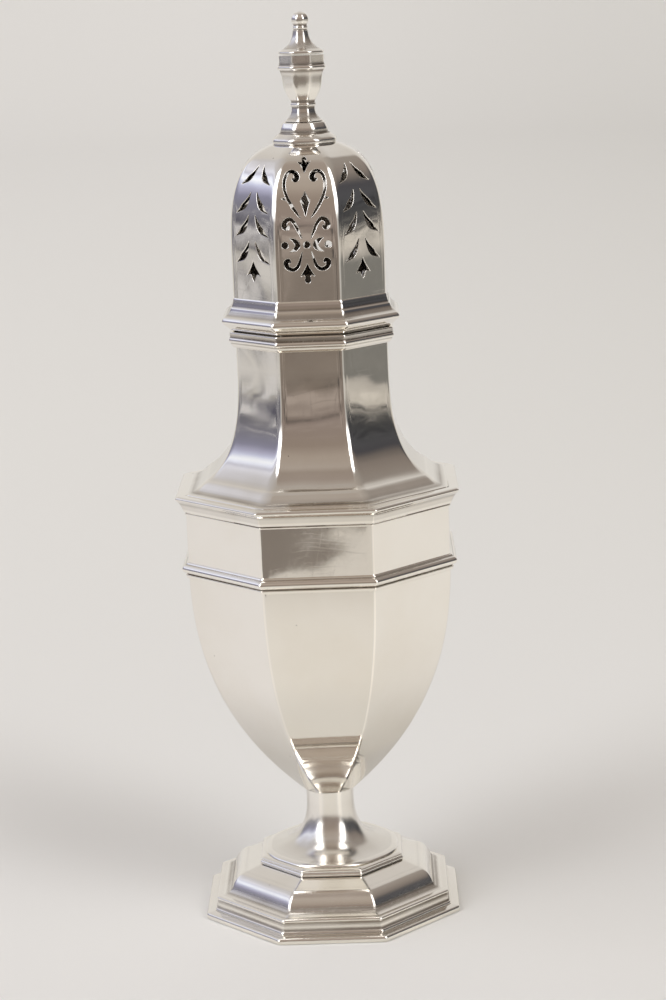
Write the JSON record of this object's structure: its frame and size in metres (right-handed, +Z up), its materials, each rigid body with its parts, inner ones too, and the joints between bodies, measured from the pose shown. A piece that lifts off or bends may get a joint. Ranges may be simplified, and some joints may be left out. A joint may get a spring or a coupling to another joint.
{
  "type": "sugar caster",
  "caption": "Tall eight-sided silver sugar caster on a stepped foot, with a pierced pull-off cover and an urn finial.",
  "frame": {"origin": "centre of the foot's underside, on the surface that it stands on", "axes": "+Z up along the axis; -Y square to the middle of a scroll panel"},
  "size_m": [0.0588, 0.0588, 0.19],
  "materials": {
    "foot_silver": "polished sterling silver, lightly worn",
    "body_silver": "polished sterling silver, lightly worn",
    "cover_silver": "polished sterling silver, lightly worn",
    "inner_silver": "duller silver, not polished"
  },
  "bodies": {
    "body": {"foot_rim": "foot_silver", "foot_band": "foot_silver", "foot_slope": "foot_silver", "foot_step": "foot_silver", "stem": "foot_silver", "bowl_shell": "body_silver", "bowl_floor": "inner_silver", "girdle_moulding": "body_silver", "frieze_wall": "body_silver", "shoulder_moulding": "body_silver", "neck_shell": "body_silver", "neck_collar": "body_silver"},
    "cover": {"cover_bezel": "inner_silver", "cover_rim": "cover_silver", "pierced_dome": "cover_silver", "finial_pin": "inner_silver", "finial_plinth": "cover_silver", "finial_urn": "cover_silver", "finial_lid": "cover_silver"}
  },
  "joints": [
    {"name": "cover_lift", "type": "slide", "parent": "body", "child": "cover", "axis": [0, 0, 1], "range_m": [0, 0.05]}
  ]
}
